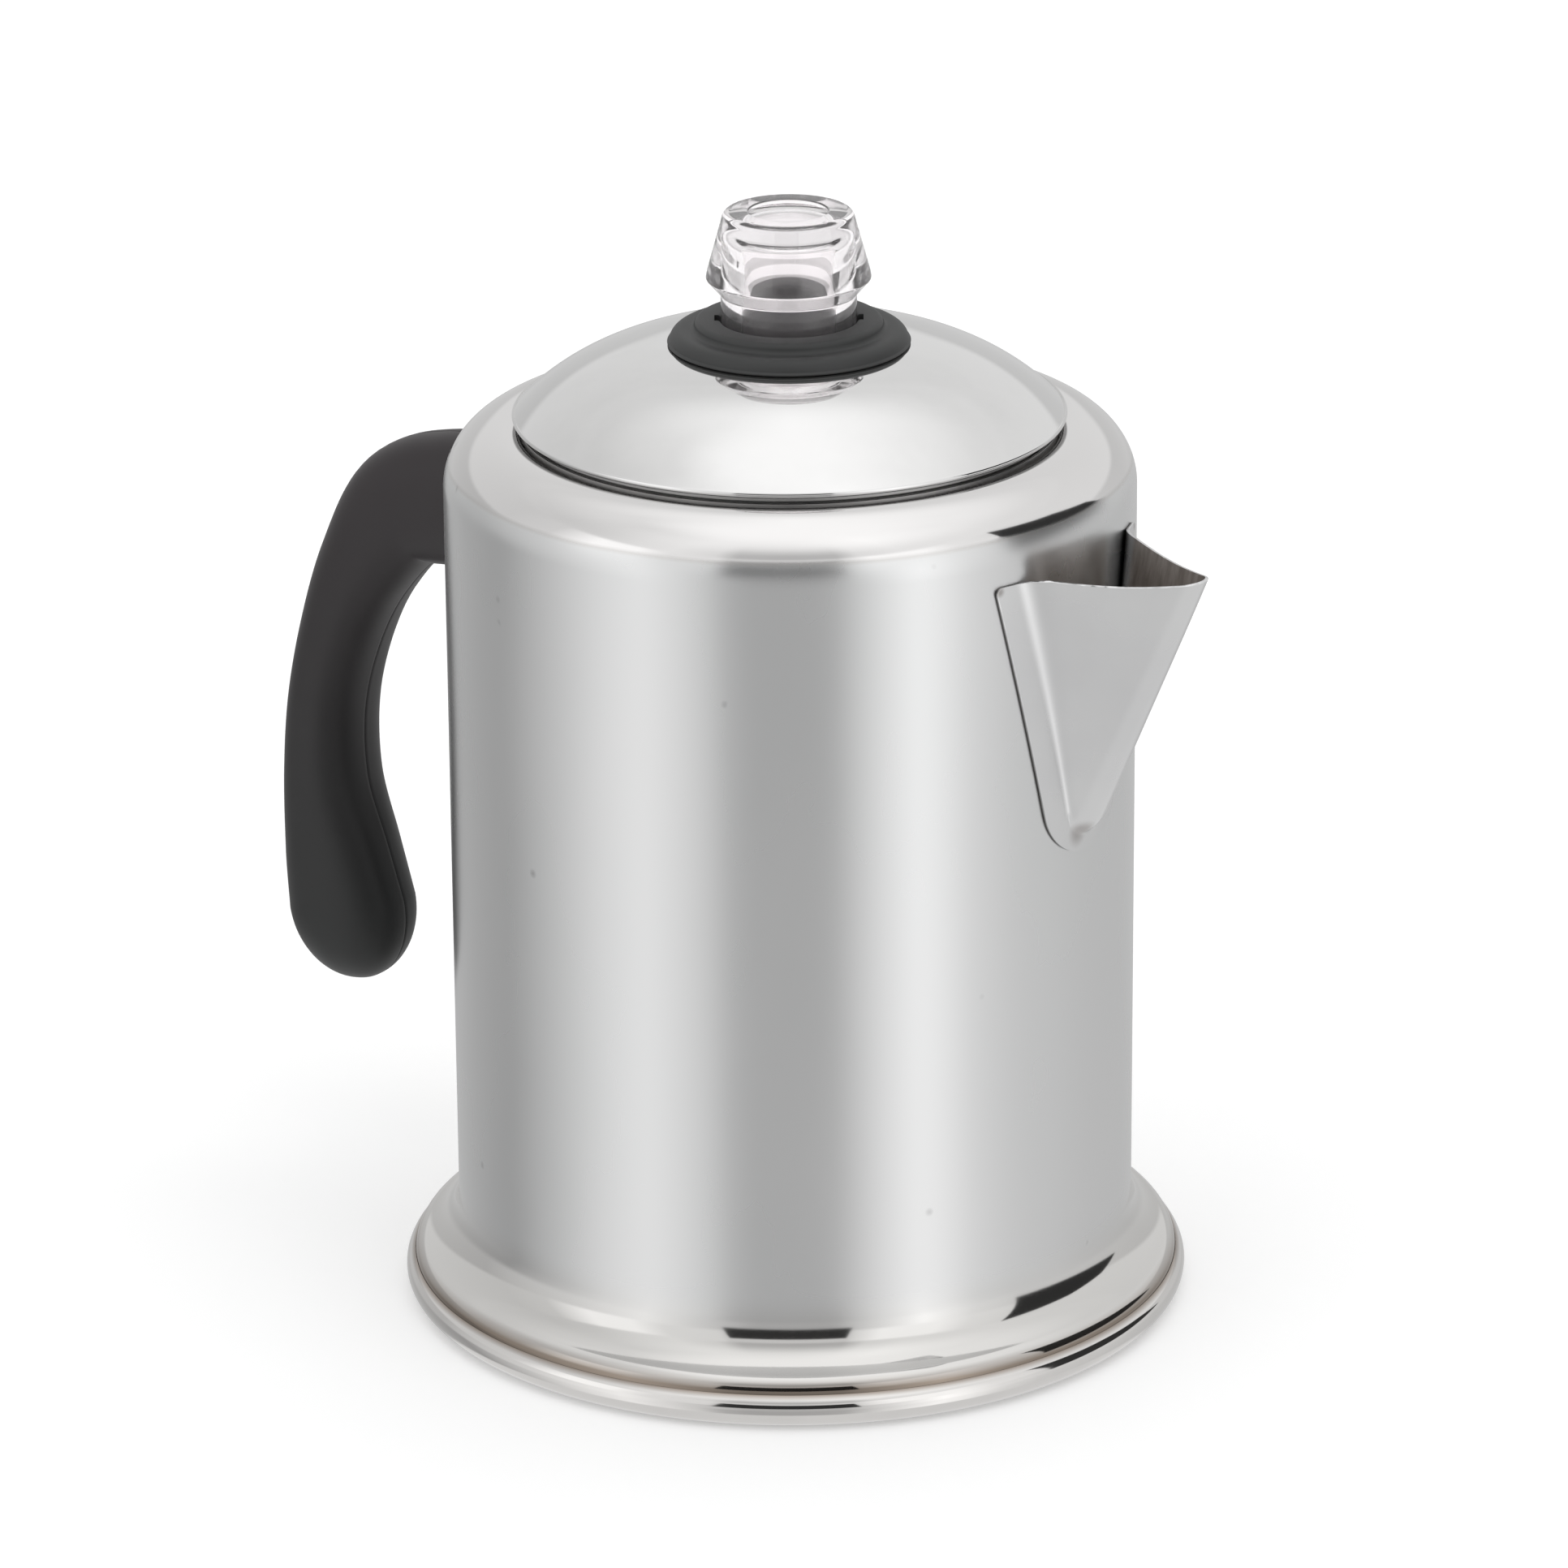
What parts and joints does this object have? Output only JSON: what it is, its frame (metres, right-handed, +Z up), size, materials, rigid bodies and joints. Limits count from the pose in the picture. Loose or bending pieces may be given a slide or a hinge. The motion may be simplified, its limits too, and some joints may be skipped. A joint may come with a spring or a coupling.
{
  "type": "stovetop coffee percolator",
  "caption": "Stainless steel stovetop percolator with a flared foot, V spout, open C handle, domed lid and clear twist-off knob over a pump tube and basket.",
  "frame": {"origin": "centre of the flat underside of the bottom pan", "axes": "+Z up along the pot's axis; +X towards the spout; -X towards the handle"},
  "size_m": [0.2113, 0.152, 0.215],
  "materials": {
    "pot_steel": "satin polished, reflecting in vertical bands",
    "bright_steel": "mirror polished",
    "inner_steel": "pressed, with a fine grain",
    "black_phenolic": "matte moulded",
    "clear_plastic": "clear and glossy",
    "zinc_steel": "plated"
  },
  "bodies": {
    "pot": {"body_shell": "pot_steel", "base_pan": "bright_steel", "spout": "bright_steel", "handle_bracket": "inner_steel", "bracket_nut": "zinc_steel", "handle_grip": "black_phenolic", "handle_screw": "zinc_steel", "screw_washer": "zinc_steel"},
    "pump": {"pump_tube": "inner_steel", "pump_bell": "inner_steel", "basket_stop": "inner_steel", "valve_cage": "inner_steel"},
    "valve": {"valve_disc": "zinc_steel"},
    "basket": {"basket_shell": "inner_steel", "basket_sleeve": "inner_steel"},
    "spreader": {"spreader_plate": "inner_steel"},
    "lid": {"lid_dome": "bright_steel", "lid_skirt": "inner_steel", "knob_collar": "black_phenolic", "collar_ring": "zinc_steel"},
    "knob": {"knob": "clear_plastic"}
  },
  "joints": [
    {"name": "pump_lift", "type": "slide", "parent": "pot", "child": "pump", "axis": [0, 0, 1], "range_m": [0, 0.18]},
    {"name": "valve_travel", "type": "slide", "parent": "pump", "child": "valve", "axis": [0, 0, 1], "range_m": [0, 0.003]},
    {"name": "basket_lift", "type": "slide", "parent": "pump", "child": "basket", "axis": [0, 0, 1], "range_m": [0, 0.12]},
    {"name": "spreader_lift", "type": "slide", "parent": "basket", "child": "spreader", "axis": [0, 0, 1], "range_m": [0, 0.08]},
    {"name": "lid_lift", "type": "slide", "parent": "spreader", "child": "lid", "axis": [0, 0, 1], "range_m": [0, 0.12]},
    {"name": "knob_twist", "type": "hinge", "parent": "lid", "child": "knob", "pos_m": [0, 0, 0.19], "axis": [0, 0, 1], "range_deg": [0, 90]}
  ]
}
